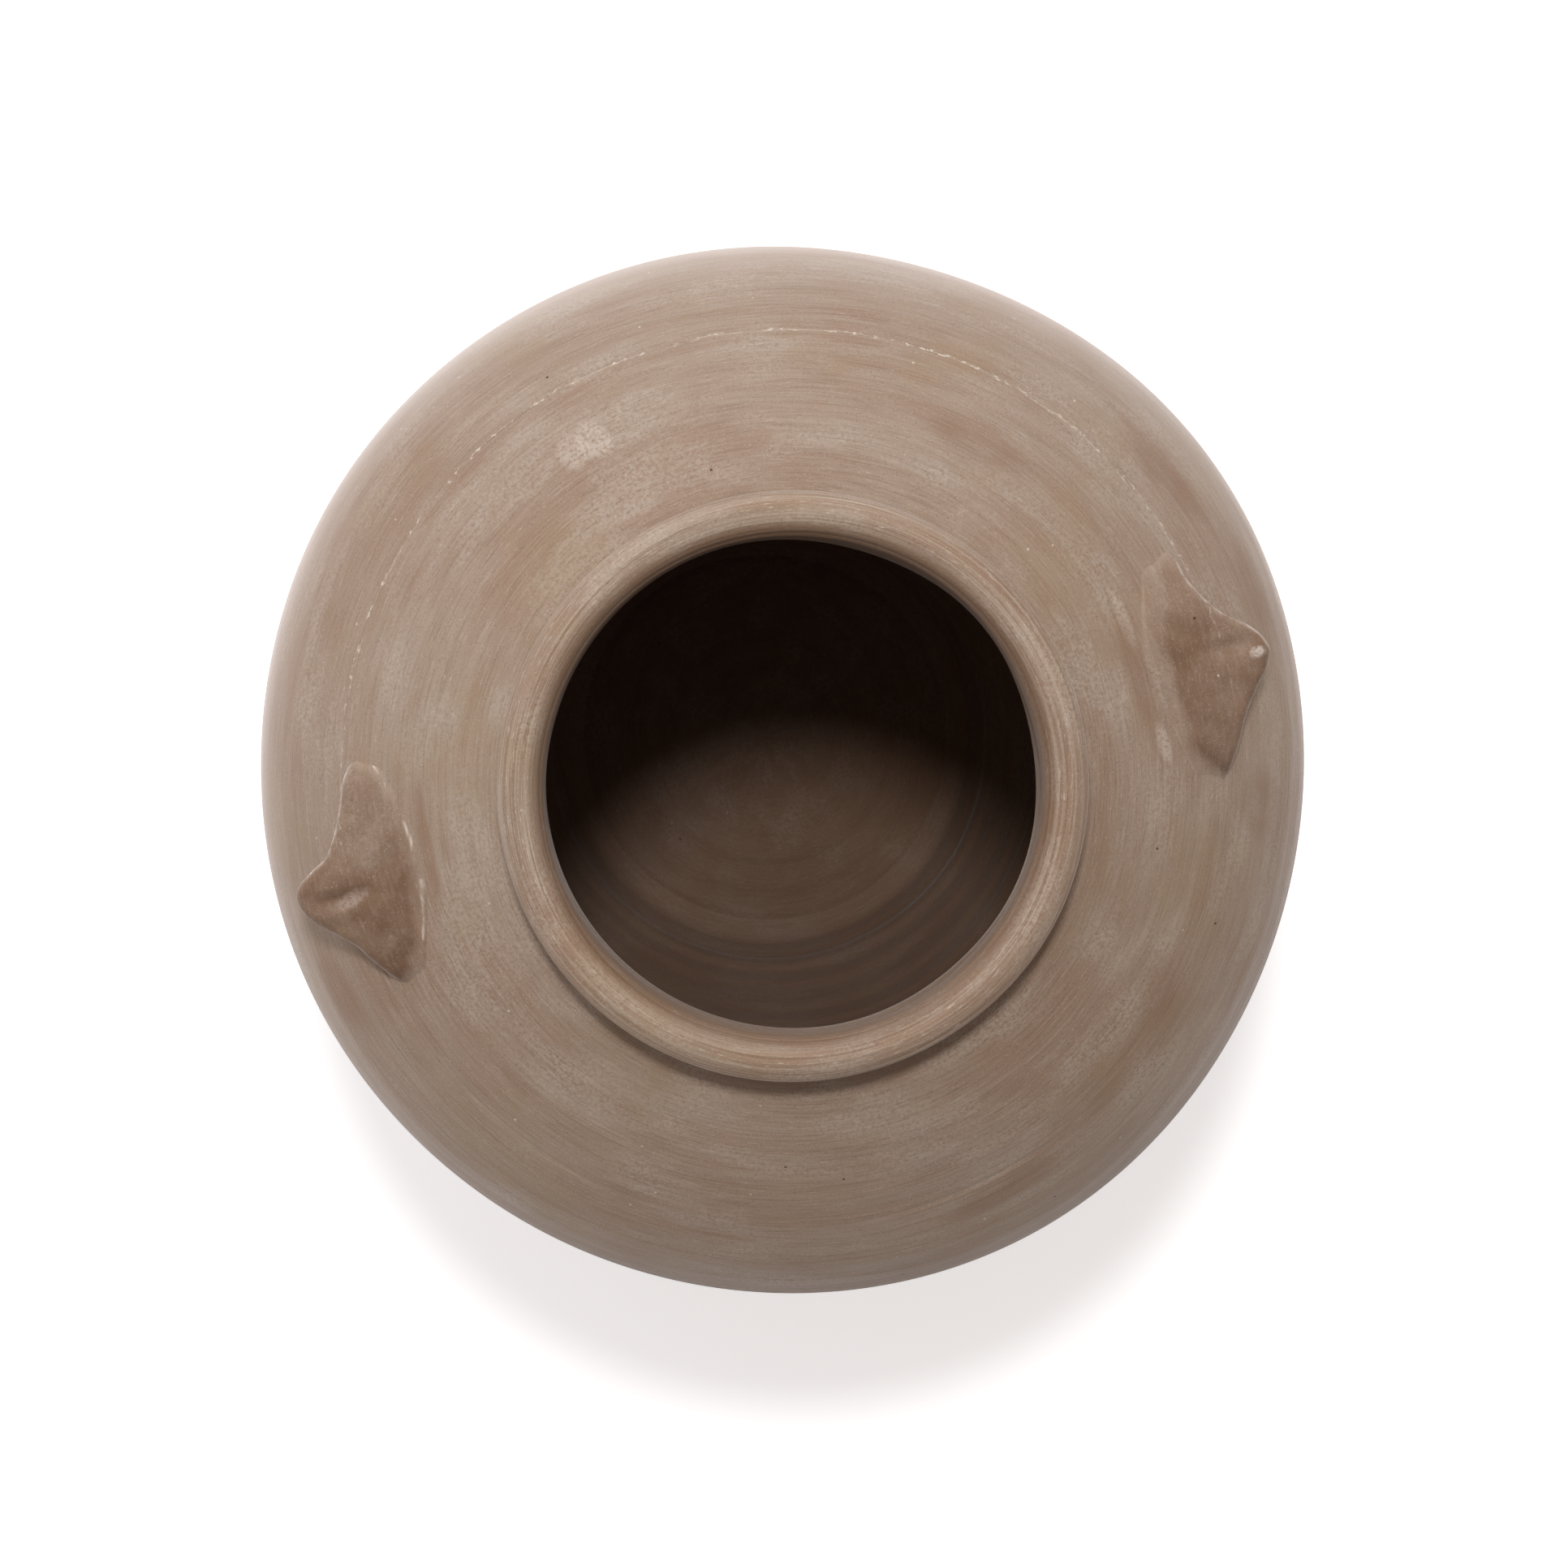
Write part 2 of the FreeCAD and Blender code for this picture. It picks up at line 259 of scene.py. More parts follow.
def skin_at(run):
    """Points (radius, height) on the skin at a run, or at many."""
    return np.stack([np.interp(run, SKIN_RUN, SKIN[:, i]) for i in (0, 1)], axis=-1)


def out_at(run):
    """Unit normals out of the clay at a run, or at many."""
    n = np.stack([np.interp(run, SKIN_RUN, SKIN_OUT[:, i]) for i in (0, 1)], axis=-1)
    return n / np.linalg.norm(n, axis=-1, keepdims=True)


# ------------------------------------------------------- the turned surface


class Waves:
    """A smooth seeded pattern over angle and run, made of waves that close round the jar."""

    def __init__(self, seed, count, lobes, lengths, size):
        rng = np.random.default_rng(seed)
        self.lobes = rng.integers(lobes[0], lobes[1] + 1, count) * rng.choice([-1, 1], count)
        self.pitch = 2 * math.pi / rng.uniform(lengths[0], lengths[1], count)
        self.phase = rng.uniform(0, 2 * math.pi, count)
        self.size = size / math.sqrt(count / 2)

    def __call__(self, angle, run):
        total = np.zeros_like(angle)
        for lobes, pitch, phase in zip(self.lobes, self.pitch, self.phase):
            total += np.cos(lobes * angle + pitch * run + phase)
        return total * self.size


LUMPS = Waves(11, 14, (2, 7), (60, 170), 0.30)
OUTER_RIDGES = Waves(12, 12, (0, 1), (9, 24), 0.05)
OUTER_LINES = Waves(13, 16, (0, 2), (2.4, 5.5), 0.022)
INNER_RIDGES = Waves(14, 8, (0, 1), (11, 17), 0.20)
INNER_LINES = Waves(15, 12, (0, 2), (3, 6), 0.03)
JOINT_DEPTH = Waves(16, 10, (1, 9), (40, 90), 1.0)

# How far the body and the rim are from round: lobes, millimetres, angle of a peak.
BODY_LOBES = [(2, 0.8, 92.0), (3, 0.75, 23.0), (4, 0.65, 23.0)]
RIM_LOBES = [(1, 0.35, 114.0), (2, 0.3, 37.0)]


def lobe_sum(angle, lobes):
    """The lobes added up, in millimetres."""
    return sum(size * np.cos(count * (angle - math.radians(peak))) for count, size, peak in lobes)


def lobed(angle, lobes):
    """How far a lobed outline stands inside its own largest circle, in millimetres, never above 0."""
    return lobe_sum(angle, lobes) - np.max(lobe_sum(np.linspace(0, 2 * math.pi, 720), lobes))


def out_of_round(angle, radius, height):
    """Radial shift that makes body and rim a little out of round, blending over the shoulder.

    The bore keeps its mean size; the coil's outside is drawn in so it never passes its own circle.
    """
    rim_share = np.clip((height - 330.0) / 60.0, 0.0, 1.0)
    body = lobed(angle, BODY_LOBES) * radius / BELLY_R
    peak = np.max(lobe_sum(np.linspace(0, 2 * math.pi, 720), RIM_LOBES))
    drawn_in = peak * step(radius, MOUTH_R, RIM_R)
    rim = (lobe_sum(angle, RIM_LOBES) - drawn_in) * radius / RIM_R
    return body * (1 - rim_share) + rim * rim_share


def bump(x, middle, width):
    """A smooth hump of height 1."""
    return np.exp(-(((x - middle) / width) ** 2))


def step(x, start, end):
    """0 before start, 1 after end, smooth between."""
    t = np.clip((x - start) / (end - start), 0.0, 1.0)
    return t * t * (3 - 2 * t)


def relief(angle, run):
    """How far the worked surface stands out from the plain skin, in millimetres."""
    inner = step(run, MARK["lip"], MARK["bore_top"])
    bead = step(run, MARK["neck_out"], MARK["under_coil"]) * (1 - inner)
    body = 1.0 - 0.75 * bead
    height = LUMPS(angle, run) * body
    height += (OUTER_RIDGES(angle, run) + OUTER_LINES(angle, run)) * (1 - inner) * body
    height += (INNER_RIDGES(angle, run) + INNER_LINES(angle, run)) * inner
    for mark, depth in (("lower_out", 0.35), ("upper_out", 0.55)):
        share = 0.45 + 0.55 * np.clip(JOINT_DEPTH(angle, run * 0 + MARK[mark]), -0.8, 1.0)
        height -= depth * share * bump(run, MARK[mark], 0.9)
    for mark in ("neck_out", "under_coil"):
        height -= 0.35 * bump(run, MARK[mark], 1.2)
    height -= 0.30 * bump(run, MARK["lip"], 0.8)
    for mark in ("upper_in", "lower_in", "floor_rim"):
        height -= 0.6 * bump(run, MARK[mark], 1.6)
    foot = 1 - step(run, MARK["foot"] - 3.0, MARK["disc_edge"])
    axis = step(run, SKIN_RUN[-1] - 6.0, SKIN_RUN[-1])
    flat_foot = np.minimum(height, 0.0) * 0.4
    return height * (1 - foot) * (1 - axis) + flat_foot * foot * step(run, 0.0, 6.0)


# ------------------------------------------------------------ turned pieces


def skin_runs(start, end, spacing):
    """Runs from one mark to another, about spacing millimetres apart."""
    a, b = MARK[start], MARK[end]
    return np.linspace(a, b, max(2, int(round(abs(b - a) / spacing)) + 1))


def across(start, end, groove=0.0, count=4):
    """Rows over a joint face between two marks: a V if it has a groove, else straight."""
    a, b = skin_at(MARK[start]), skin_at(MARK[end])
    middle = (a + b) / 2
    if groove:
        middle = groove_point(*((a, b) if a[0] > b[0] else (b, a)), groove)
    share = np.linspace(0.0, 1.0, 2 * count + 1)[1:-1]
    rows = []
    for t in share:
        if t < 0.5:
            place = a + (middle - a) * (t / 0.5)
        else:
            place = middle + (b - middle) * ((t - 0.5) / 0.5)
        rows.append((place, MARK[start], MARK[end], t))
    return rows


def on_skin(start, end, spacing):
    """Rows along the skin from one mark to another."""
    return [(skin_at(run), run, run, 0.0) for run in skin_runs(start, end, spacing)]


def settle(points, run_a, run_b, share):
    """Moves points, in millimetres, by the relief of the two skin places that each lies between."""
    angle = np.arctan2(points[:, 1], points[:, 0])
    radius = np.hypot(points[:, 0], points[:, 1])
    push_a = relief(angle, run_a)[:, None] * out_at(run_a)
    push_b = relief(angle, run_b)[:, None] * out_at(run_b)
    push = push_a * (1 - share[:, None]) + push_b * share[:, None]
    new_radius = radius + push[:, 0] + out_of_round(angle, radius, points[:, 2])
    new_radius = np.where(radius < 0.01, radius, new_radius)
    height = np.clip(points[:, 2] + push[:, 1], 0.0, RIM_TOP)
    return np.stack([np.cos(angle) * new_radius, np.sin(angle) * new_radius, height], axis=1)


def own_mesh(name, bm):
    """A finished bmesh as an object at the origin."""
    mesh = bpy.data.meshes.new(name)
    bm.to_mesh(mesh)
    bm.free()
    piece = bpy.data.objects.new(name, mesh)
    bpy.context.scene.collection.objects.link(piece)
    return piece


def read_points(mesh):
    """A mesh's points as an array, in millimetres."""
    flat = np.empty(len(mesh.vertices) * 3)
    mesh.vertices.foreach_get("co", flat)
    return flat.reshape(-1, 3) / MM


def write_points(mesh, points):
    """Puts points, in millimetres, back into a mesh."""
    mesh.vertices.foreach_set("co", (points * MM).ravel())
    mesh.update()


def write_sweep(mesh, points, run):
    """The pattern coordinates: cosine and sine of the angle, and the run in metres."""
    angle = np.arctan2(points[:, 1], points[:, 0])
    sweep = np.stack([np.cos(angle), np.sin(angle), run * MM], axis=1)
    attribute = mesh.attributes.new("sweep", "FLOAT_VECTOR", "POINT")
    attribute.data.foreach_set("vector", sweep.astype(np.float32).ravel())


COARSE_STEPS = 60


def turn_piece(name, node, rows, steps, material, corners):
    """Spins a section once round the wheel's axis and works its surface.

    rows are the section in order.  A section that starts and ends on the axis
    stays open there and its poles are welded; any other is closed.
    """
    bm = bmesh.new()
    row_layer = bm.verts.layers.int.new("row")
    verts = []
    for i, (place, _, _, _) in enumerate(rows):
        v = bm.verts.new((place[0] * MM, 0.0, place[1] * MM))
        v[row_layer] = i
        verts.append(v)
    edges = [bm.edges.new(pair) for pair in zip(verts, verts[1:])]
    if rows[0][0][0] > 0.01:
        edges.append(bm.edges.new((verts[-1], verts[0])))
    bmesh.ops.spin(
        bm,
        geom=verts + edges,
        cent=(0, 0, 0),
        axis=(0, 0, 1),
        angle=2 * math.pi,
        steps=COARSE_STEPS,
        use_merge=True,
        use_duplicate=False,
    )
    bmesh.ops.remove_doubles(bm, verts=bm.verts[:], dist=1e-6)
    around = [e for e in bm.edges if e.verts[0][row_layer] == e.verts[1][row_layer]]
    bmesh.ops.subdivide_edges(bm, edges=around, cuts=steps // COARSE_STEPS - 1, use_grid_fill=True)
    bmesh.ops.recalc_face_normals(bm, faces=bm.faces[:])
    sharp_rows = {i for i, row in enumerate(rows) if any(abs(row[1] - MARK[c]) < 1e-6 for c in corners)}
    sharp_rows &= {i for i, row in enumerate(rows) if row[3] == 0.0}
    for face in bm.faces:
        face.smooth = True
    for edge in bm.edges:
        a, b = (v[row_layer] for v in edge.verts)
        edge.smooth = not (a == b and a in sharp_rows)
    piece = own_mesh(name, bm)
    mesh = piece.data
    row = np.empty(len(mesh.vertices), np.int32)
    mesh.attributes["row"].data.foreach_get("value", row)
    mesh.attributes.remove(mesh.attributes["row"])
    table = np.array([[a, b, t] for _, a, b, t in rows])[row]
    points = read_points(mesh)
    angle = np.arctan2(points[:, 1], points[:, 0])
    place = np.array([place for place, _, _, _ in rows])[row]
    points = np.stack([np.cos(angle) * place[:, 0], np.sin(angle) * place[:, 0], place[:, 1]], axis=1)
    write_sweep(mesh, points, table[:, 0] * (1 - table[:, 2]) + table[:, 1] * table[:, 2])
    write_points(mesh, settle(points, table[:, 0], table[:, 1], table[:, 2]))
    mesh.materials.append(material)
    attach(piece, "root")
    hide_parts(node)
    return piece


# --------------------------------------------------------------------- ears
# Each ear is drawn in plan: how far back from its tip, and how far to the
# side (towards the front of the jar), both in millimetres.

EAR_TIP_TOP = 364.0           # height of the top face at the tip
EAR_RISE = 0.12               # how fast the top face climbs towards the neck
EAR_SAG = 12.0                # how far the top face falls from the middle to both ends
EAR_REACH = 46.0              # half the ear's length along the wall
EAR_SIDE_SHIFT = -3.5         # both ears sit a little behind the X axis
EAR_EDGE = 2.7                # radius of the rounded free edge
EAR_THICKEN = 0.26            # growth of the thickness away from the free edge
EAR_KNEAD = 0.10              # size of each of the waves that kneading left
EAR_FLAP = 0.2                # how far the smeared root stands over the wall
EAR_BLEND = 3.2               # softness of the line where the top face leaves the wall
EAR_ROOT_SINK = 1.3           # how far the smeared root and ends go down into the wall

LEFT_EAR = {
    "tip": -178.6,
    "crack": 1.0,
    "edge": [
        (34.5, -46.0), (31.6, -41.2), (27.3, -36.2), (23.9, -28.5), (21.2, -22.2), (18.0, -15.9),
        (13.6, -9.9), (7.5, -6.5), (2.3, -2.9), (0.0, 0.8), (0.3, 5.0), (2.0, 8.6), (7.2, 14.6),
        (15.8, 22.3), (19.9, 28.6), (24.0, 34.3), (29.4, 41.3), (33.5, 45.5),
    ],
    "seam": [
        (40.6, -41.2), (45.3, -29.0), (48.9, -12.9), (49.4, 2.0), (47.5, 15.6), (43.2, 30.1),
        (39.2, 41.5),
    ],
    "dents": [
        (14.0, 5.6, 6.0, 2.6, -1.6), (23.0, 4.8, 6.0, 3.0, -1.3), (14.0, 10.5, 9.0, 3.6, 1.0),
        (10.0, 0.0, 6.0, 3.2, 0.7), (41.0, 12.0, 4.5, 20.0, -1.3), (31.0, -30.0, 6.0, 8.0, 1.0),
        (30.0, -8.0, 9.0, 12.0, -0.8), (31.0, 31.0, 5.0, 7.0, -1.1),
    ],
}
RIGHT_EAR = {
    "tip": 174.7,
    "crack": 0.15,
    "edge": [
        (31.0, -48.5), (27.8, -44.2), (24.5, -39.1), (22.9, -32.3), (19.2, -24.9), (13.9, -17.6),
        (10.9, -14.9), (5.7, -11.0), (1.5, -5.9), (0.0, -0.7), (2.0, 4.4), (5.9, 9.4), (10.8, 16.0),
        (14.2, 21.6), (17.2, 28.4), (19.9, 33.4), (23.6, 39.4), (28.4, 45.7),
    ],
    "seam": [
        (37.0, -44.0), (42.5, -34.0), (46.0, -18.0), (46.5, -2.0), (44.5, 13.0), (41.5, 29.0),
        (37.0, 42.0),
    ],
    "dents": [
        (15.0, -5.3, 8.0, 3.0, -1.8), (12.0, 3.0, 6.5, 5.0, 0.9), (37.5, 2.0, 4.6, 18.0, -2.2),
        (33.0, -33.0, 4.0, 7.0, -1.2), (29.0, 36.0, 7.0, 7.0, -1.3), (24.0, -22.0, 6.0, 9.0, 0.8),
        (5.5, -1.0, 3.0, 4.0, 0.6), (24.0, 14.0, 4.0, 12.0, 0.7),
    ],
}


DOME = slice(
    int(np.searchsorted(SKIN_RUN, MARK["belly"])), int(np.searchsorted(SKIN_RUN, MARK["neck_out"]))
)


def through(points, share):
    """Points on a smooth line through the given ones, at shares of its length from 0 to 1."""
    p = np.array(points, float)
    p = np.concatenate([[2 * p[0] - p[1]], p, [2 * p[-1] - p[-2]]])
    fine = []
    for a, b, c, d in zip(p, p[1:], p[2:], p[3:]):
        t = np.linspace(0, 1, 24, endpoint=False)[:, None]
        square, cube = 2 * a - 5 * b + 4 * c - d, 3 * b - a - 3 * c + d
        fine.append(0.5 * (2 * b + (c - a) * t + square * t**2 + cube * t**3))
    fine = np.concatenate(fine + [[p[-2]]])
    run = np.concatenate([[0.0], np.cumsum(np.linalg.norm(np.diff(fine, axis=0), axis=1))])
    at = np.asarray(share) * run[-1]
    return np.stack([np.interp(at, run, fine[:, 0]), np.interp(at, run, fine[:, 1])], axis=-1)


def softer_max(a, b, width):
    """The larger of two heights, rounded where they meet."""
    gap = np.clip(0.5 + (a - b) / (2 * width), 0.0, 1.0)
    return a * gap + b * (1 - gap) + width * gap * (1 - gap)


def in_plan(ear, back, side):
    """Ear plan coordinates to the row's x and y."""
    sign = math.copysign(1.0, ear["tip"])
    return sign * (abs(ear["tip"]) - back), -(side + EAR_SIDE_SHIFT)


def kneaded(back, side):
    """The unevenness that fingers leave on a pinched sheet, in millimetres."""
    dice = np.random.default_rng(31)
    total = 0.0
    for _ in range(9):
        turn, start = dice.uniform(0, 2 * math.pi, 2)
        length = dice.uniform(7.0, 18.0)
        along = back * math.cos(turn) + side * math.sin(turn)
        total = total + np.sin(2 * math.pi * along / length + start)
    return EAR_KNEAD * total


def ear_top(ear, back, side):
    """Heights of an ear's top face and of the wall under it at a place in plan."""
    x, y = in_plan(ear, back, side)
    wall = ellipse_z(np.hypot(x, y))
    plate = EAR_TIP_TOP + EAR_RISE * back - EAR_SAG * (side / EAR_REACH) ** 2 + kneaded(back, side)
    for dent_back, dent_side, long, wide, size in ear["dents"]:
        plate = plate + size * bump(back, dent_back, long) * bump(side, dent_side, wide)
    return softer_max(plate, wall + EAR_FLAP, EAR_BLEND), wall


def pinch_ear(name, node, ear, material):
    """An ear: a sheet laid over the top, round the free edge and back underneath, then closed."""
    ribs, rows = 300, 130
    top_share, edge_share = 0.46, 0.54
    bm = bmesh.new()
    bmesh.ops.create_grid(bm, x_segments=ribs, y_segments=rows, size=1.0)
    bm.verts.ensure_lookup_table()
    flat = np.array([v.co[:2] for v in bm.verts]) * 0.5 + 0.5
    u, v = flat[:, 0], flat[:, 1]
    edge = through(ear["edge"], u)
    ahead = through(ear["edge"], np.clip(u + 0.004, 0, 1))
    ahead -= through(ear["edge"], np.clip(u - 0.004, 0, 1))
    ahead /= np.linalg.norm(ahead, axis=1)[:, None]
    outward = np.stack([-ahead[:, 1], ahead[:, 0]], axis=1)
    middle = np.array([25.0, 0.0])
    outward *= np.where(np.sum(outward * (edge - middle), axis=1) < 0, -1.0, 1.0)[:, None]
    seam = through(ear["seam"], u)
    radius = EAR_EDGE * (1 + 0.18 * np.sin(u * 23.0) * np.sin(u * 9.0 + 1.0))
    rim_start = edge - outward * radius[:, None]
    half_turn = math.pi * np.clip((v - top_share) / (edge_share - top_share), 0, 1)
    on_top, below = v < top_share, v > edge_share
    reach = np.where(on_top, v / top_share, np.where(below, (1 - v) / (1 - edge_share), 1.0))
    reach = reach ** 0.8
    plan = seam + (rim_start - seam) * reach[:, None]
    plan = plan + outward * (radius * np.sin(half_turn))[:, None]
    width = np.linalg.norm(rim_start - seam, axis=1)
    inside = width * (1 - reach)
    back, side = plan[:, 0], plan[:, 1]
    top, wall = ear_top(ear, back, side)
    ends = np.maximum(step(-u, -0.12, -0.01), step(u, 0.88, 0.99))
    fade = np.maximum(step(inside, width - 5.0, width - 0.5), ends)
    top = top + (wall - EAR_ROOT_SINK - top) * fade
    thick = 2 * radius + EAR_THICKEN * inside
    turn_drop = radius * (1 - np.cos(half_turn))
    x, y = in_plan(ear, back, side)
    z = np.where(below, top - thick, top - turn_drop)
    points = np.stack([x, y, z], axis=1)
    radius_plan = np.hypot(x, y)
    run = np.interp(-radius_plan, -SKIN[DOME, 0], SKIN_RUN[DOME])
    settled = ride_wall(points, run)
    for vert, place in zip(bm.verts, settled):
        vert.co = Vector(place) * MM
    edges = [e for e in bm.edges if e.is_boundary]
    bmesh.ops.holes_fill(bm, edges=edges, sides=0)
    bmesh.ops.triangulate(bm, faces=[f for f in bm.faces if len(f.verts) > 4])
    bmesh.ops.recalc_face_normals(bm, faces=bm.faces[:])
    for face in bm.faces:
        face.smooth = True
    piece = own_mesh(name, bm)
    write_sweep(piece.data, points, run)
    # painted highlight along the ear's rounded free edge, stronger towards the bright far side
    painted_edge_highlight = bump(v, top_share + 0.40 * (edge_share - top_share), 0.010) * (1 - ends)
    painted_edge_highlight *= 0.40 + 0.60 * step(-side, -6.0, 12.0)
    crack = bump(inside, width - 4.4, 0.40) * on_top * ear["crack"]
    # darker brown over the ear plate and all of its underside, at half strength at the end towards +Y
    plate_darkening = np.where(below, 1.0, step(top - wall, 0.2, 4.0)) * (0.5 + 0.5 * step(side, -38.0, -10.0))
    highlight_and_cracks = np.stack([painted_edge_highlight, crack, plate_darkening], axis=1)
    attribute = piece.data.attributes.new("highlight_and_cracks", "FLOAT_VECTOR", "POINT")
    attribute.data.foreach_set("vector", highlight_and_cracks.astype(np.float32).ravel())
    piece.data.materials.append(material)
    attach(piece, "root")
    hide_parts(node)
    return piece


def ride_wall(points, run):
    """Moves an ear's points as the wall under them is moved by its slow lumps and its shape."""
    angle = np.arctan2(points[:, 1], points[:, 0])
    radius = np.hypot(points[:, 0], points[:, 1])
    push = LUMPS(angle, run)[:, None] * out_at(run)
    new_radius = radius + push[:, 0] + out_of_round(angle, radius, ellipse_z(radius))
    return np.stack(
        [np.cos(angle) * new_radius, np.sin(angle) * new_radius, points[:, 2] + push[:, 1]], axis=1
    )


# ---------------------------------------------------------------- materials


def linear(hex_colour):
    """An sRGB hex colour as linear RGBA."""
    parts = [int(hex_colour[i : i + 2], 16) / 255 for i in (1, 3, 5)]
    return [c / 12.92 if c <= 0.04045 else ((c + 0.055) / 1.055) ** 2.4 for c in parts] + [1.0]


def add(tree, kind, inputs=(), **settings):
    """Adds a node.  A setting is a property or, with spaces as underscores, an input's value.

    inputs are (input name or number, output, number or hex colour) pairs.
    """
    node = tree.nodes.new(kind)
    for key, value in settings.items():
        if hasattr(node, key):
            setattr(node, key, value)
        else:
            node.inputs[key.replace("_", " ")].default_value = value
    for where, value in inputs:
        if isinstance(value, str):
            node.inputs[where].default_value = linear(value)
        elif isinstance(value, bpy.types.NodeSocket):
            tree.links.new(value, node.inputs[where])
        else:
            node.inputs[where].default_value = value
    return node


MEAN_R = 150.0


def sweep_scale(along, over):
    """Mapping scale for the sweep attribute: one pattern cell is along by over, in millimetres."""
    return (MEAN_R / along, MEAN_R / along, 1.0 / (over * MM))


def banded(tree, sweep, along, over, detail=2.0, offset=0.0):
    """Noise drawn out round the jar, in cells of along by over millimetres."""
    mapping = add(
        tree, "ShaderNodeMapping", [("Vector", sweep)],
        Scale=sweep_scale(along, over), Location=(offset, offset * 0.7, offset * 1.3),
    )
    return add(
        tree, "ShaderNodeTexNoise", [("Vector", mapping.outputs[0])], Scale=1.0, Detail=detail,
        Roughness=0.55,
    ).outputs["Fac"]


def showing(tree, edges):
    """How much of a mark shows: the product of its soft edges.

    An edge is (value, where it starts, where it is full, least, most); a value by itself
    counts as it is.
    """
    share = None
    for value, start, full, least, most in edges:
        if start is not None:
            value = add(
                tree, "ShaderNodeMapRange", [("Value", value)], interpolation_type="SMOOTHSTEP",
                From_Min=start, From_Max=full, To_Min=least, To_Max=most,
            ).outputs[0]
        if share is not None:
            value = add(
                tree, "ShaderNodeMath", [(0, share), (1, value)], operation="MULTIPLY"
            ).outputs[0]
        share = value
    return share


PAINTED_LIGHT_SIDE = (-0.20, 0.98, 0.0)         # the side painted paler, as painted light; the opposite side is painted darker, as painted shade
CREST = float(SKIN_RUN[np.argmax(SKIN[:, 1])])


def spot(tree, place, angle, radius, height, sizes, turn=0.0):
    """1 at a place on the jar and 0 outside an ellipsoid round it: along the turning, across and up."""
    at = math.radians(angle)
    mapping = add(
        tree, "ShaderNodeMapping", [("Vector", place)], vector_type="TEXTURE",
        Location=(radius * MM * math.cos(at), radius * MM * math.sin(at), height * MM),
        Rotation=(0.0, 0.0, at + math.pi / 2 + math.radians(turn)),
        Scale=[size * MM for size in sizes],
    )
    return add(
        tree, "ShaderNodeTexGradient", [("Vector", mapping.outputs[0])], gradient_type="SPHERICAL"
    ).outputs["Fac"]


def scattered(tree, place, spacing, size, share, top):
    """Round marks about size across, one to a cell of spacing, kept in that share of the cells."""
    cells = add(
        tree, "ShaderNodeTexVoronoi", [("Vector", place)], Scale=1.0 / (spacing * MM), Randomness=1.0
    )
    dice = add(tree, "ShaderNodeSeparateColor", [(0, cells.outputs["Color"])])
    half = size / 2 / spacing
    return showing(tree, [
        (cells.outputs["Distance"], half * 1.3, half * 0.6, 0.0, top),
        (dice.outputs[0], 1.0 - share, 1.02 - share, 0.0, 1.0),
    ])


# Grain in the clay: size of its cells in millimetres, detail, roughness.
GRAIN = {
    "wide": (70.0, 2.0, 0.5), "cloud": (110.0, 4.0, 0.6), "ochre": (46.0, 3.0, 0.55),
    "kneaded": (24.0, 5.0, 0.65), "chipped": (5.0, 3.0, 0.6),
    "speckle": (1.3, 2.0, 0.6), "grit": (0.7, 1.0, 0.6),
}
WHOLE = (None, None, None, None)       # marks a value that counts as it is


